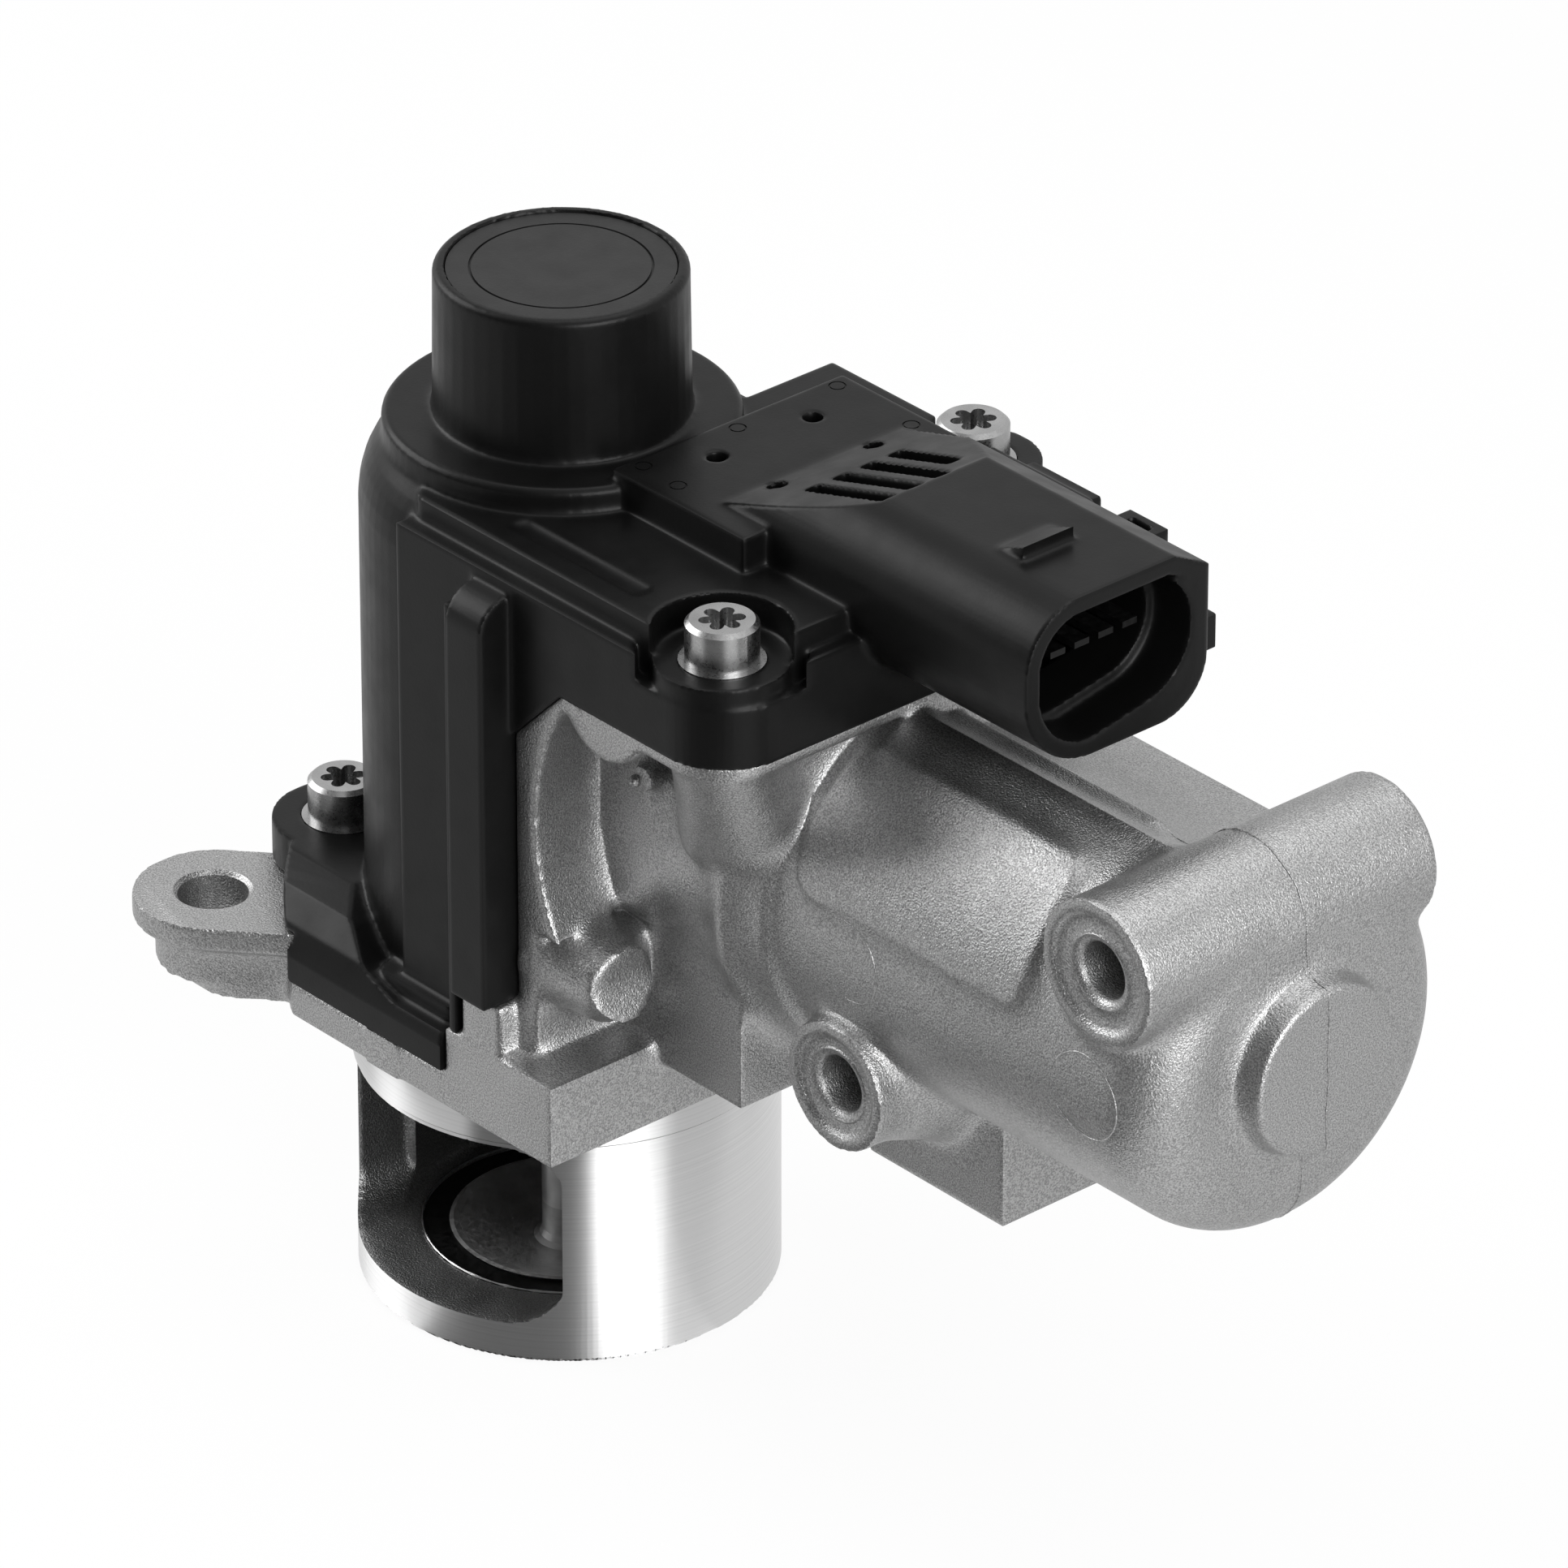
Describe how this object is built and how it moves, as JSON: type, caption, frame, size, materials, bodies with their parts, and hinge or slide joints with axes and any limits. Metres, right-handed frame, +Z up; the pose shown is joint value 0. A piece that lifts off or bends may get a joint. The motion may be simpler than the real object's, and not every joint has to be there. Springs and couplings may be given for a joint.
{
  "type": "exhaust gas recirculation valve",
  "caption": "Motor-driven exhaust gas recirculation valve: a poppet in a windowed spigot, a cast body with a geared motor barrel, and a plastic cover with a plug.",
  "frame": {"origin": "on the valve stem's axis, in the plane of the mounting flange's underside", "axes": "+Z up the valve stem, away from the spigot; +X along the motor towards its closed end; +Y towards the rear bolting face"},
  "size_m": [0.1569, 0.082, 0.1314],
  "materials": {
    "cast_aluminium": "grainy die-cast, machined bright on the spigot",
    "black_plastic": "fine moulded grain",
    "zinc_steel": "zinc plated",
    "ground_steel": "ground",
    "dark_steel": "heat-resistant steel, dark",
    "gear_steel": "sintered",
    "gear_plastic": "natural moulded",
    "bronze": "sintered bronze",
    "copper": "enamelled wire and bars",
    "tinned_brass": "tinned",
    "magnet": "sintered, matt",
    "carbon": "pressed carbon",
    "rubber": "moulded",
    "board": "solder resist"
  },
  "bodies": {
    "housing": {"valve_housing": "cast_aluminium", "seat_ring": "dark_steel", "guide_bush": "dark_steel", "stem_seal": "rubber", "seal_retainer": "zinc_steel", "return_spring": "ground_steel", "gear_carrier": "zinc_steel", "carrier_screws": "zinc_steel", "crank_bush": "bronze", "idler_bush": "bronze", "motor_can": "zinc_steel", "motor_magnets": "magnet", "brush_holder": "black_plastic", "carbon_brushes": "carbon", "motor_terminals": "tinned_brass", "front_bearing": "bronze", "rear_bearing": "bronze", "motor_screws": "zinc_steel", "motor_wave_washer": "ground_steel", "actuator_cover": "black_plastic", "cover_seal": "rubber", "sensor_lid": "black_plastic", "sensor_board": "board", "hall_sensor": "carbon", "connector_terminals": "tinned_brass", "cover_screws": "zinc_steel", "screw_bushings": "ground_steel"},
    "rotor": {"rotor_shaft": "ground_steel", "armature_core": "gear_steel", "armature_windings": "copper", "commutator": "copper", "motor_pinion": "gear_steel"},
    "idler": {"idler_gear": "gear_plastic", "idler_pinion": "gear_steel", "idler_shaft": "ground_steel", "idler_clip": "dark_steel"},
    "crank": {"crank_gear": "gear_steel", "crank_shaft": "ground_steel", "crank_pin": "ground_steel", "crank_clip": "dark_steel"},
    "roller": {"crank_roller": "bronze"},
    "valve": {"valve_disc": "dark_steel", "valve_stem": "ground_steel", "lift_yoke": "gear_steel", "sensor_rod": "ground_steel", "spring_retainer": "zinc_steel", "magnet_holder": "black_plastic", "sensor_magnet": "magnet"}
  },
  "joints": [
    {"name": "motor_spin", "type": "hinge", "parent": "housing", "child": "rotor", "pos_m": [0.03, 0.012, 0.0355], "axis": [-1, 0, 0], "range_deg": [0, 560]},
    {"name": "idler_spin", "type": "hinge", "parent": "housing", "child": "idler", "pos_m": [0.03, 0.02372, 0.03809], "axis": [-1, 0, 0], "range_deg": [-186.68, 0]},
    {"name": "crank_swing", "type": "hinge", "parent": "housing", "child": "crank", "pos_m": [0.0112, 0.00612, 0.027], "axis": [-1, 0, 0], "range_deg": [0, 56.01]},
    {"name": "roller_spin", "type": "hinge", "parent": "crank", "child": "roller", "pos_m": [0, 0.00038, 0.02395], "axis": [-1, 0, 0], "continuous": true},
    {"name": "valve_lift", "type": "slide", "parent": "housing", "child": "valve", "axis": [0, 0, 1], "range_m": [0, 0.0061], "stiffness_N_per_m": 1500, "springref_m": -0.012, "deforming": ["return_spring"]}
  ],
  "couplings": [
    {"joint": "motor_spin", "follows": "valve_lift", "rad_per_m": 1601.4},
    {"joint": "idler_spin", "follows": "valve_lift", "rad_per_m": -533.82},
    {"joint": "crank_swing", "follows": "valve_lift", "rad_per_m": 160.14}
  ]
}
